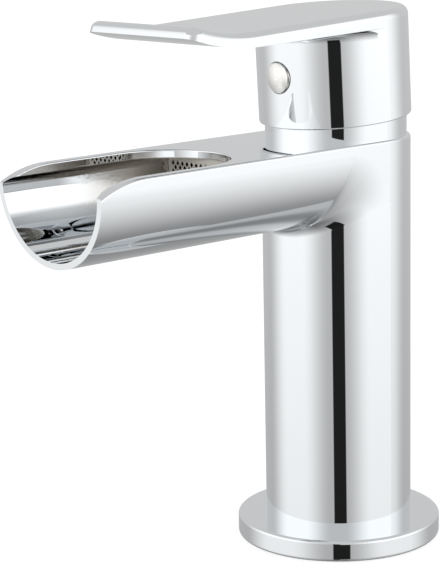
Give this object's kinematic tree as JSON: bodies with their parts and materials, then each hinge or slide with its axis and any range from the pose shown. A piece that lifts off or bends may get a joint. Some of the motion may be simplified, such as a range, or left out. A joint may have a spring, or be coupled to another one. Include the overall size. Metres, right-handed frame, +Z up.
{
  "type": "basin mixer tap",
  "caption": "Single-lever basin tap with a round column, an open waterfall spout and a flat lifting lever.",
  "frame": {"origin": "centre of the foot's underside, on the counter", "axes": "+Z up along the column, -Y towards the spout's mouth, +X to the right seen from the front"},
  "size_m": [0.064, 0.1432, 0.1674],
  "materials": {
    "chrome_plate": "polished chrome plate on cast metal",
    "brass_raw": "machined brass",
    "steel_mesh": "fine stainless sheet",
    "steel_part": "plain stainless steel",
    "cartridge_plastic": "moulded off-white plastic",
    "carrier_plastic": "moulded grey-blue plastic",
    "frame_plastic": "dark moulded plastic",
    "ceramic": "polished ceramic",
    "seal_rubber": "black rubber",
    "button_plate": "satin-bright domed plug",
    "dark_steel": "blackened steel"
  },
  "bodies": {
    "tap_body": {"body_casting": "chrome_plate", "base_flange": "chrome_plate", "base_gasket": "seal_rubber", "collar_dome": "chrome_plate", "cartridge_nut": "brass_raw", "cartridge_housing": "cartridge_plastic", "cartridge_base": "cartridge_plastic", "hot_port_seal": "seal_rubber", "cold_port_seal": "seal_rubber", "disc_seal": "seal_rubber", "fixed_disc": "ceramic", "strainer_mesh": "steel_mesh", "strainer_frame": "frame_plastic"},
    "turning_guide": {"lever_guide": "carrier_plastic", "lever_pivot_pin": "steel_part"},
    "sliding_disc": {"disc_carrier": "carrier_plastic", "moving_disc": "ceramic"},
    "lever": {"cartridge_lever": "steel_part", "lever_handle": "chrome_plate", "indicator_button": "button_plate", "grub_screw": "dark_steel"}
  },
  "joints": [
    {"name": "temperature_swing", "type": "hinge", "parent": "tap_body", "child": "turning_guide", "pos_m": [0, 0, 0.1296], "axis": [0, 0, 1], "range_deg": [-45, 45]},
    {"name": "flow_tilt", "type": "hinge", "parent": "turning_guide", "child": "lever", "pos_m": [0, 0, 0.1296], "axis": [-1, 0, 0], "range_deg": [0, 17]},
    {"name": "disc_slide", "type": "slide", "parent": "turning_guide", "child": "sliding_disc", "axis": [0, -1, 0], "range_m": [0, 0.00382]}
  ],
  "couplings": [
    {"joint": "disc_slide", "follows": "flow_tilt", "m_per_rad": 0.012889}
  ]
}
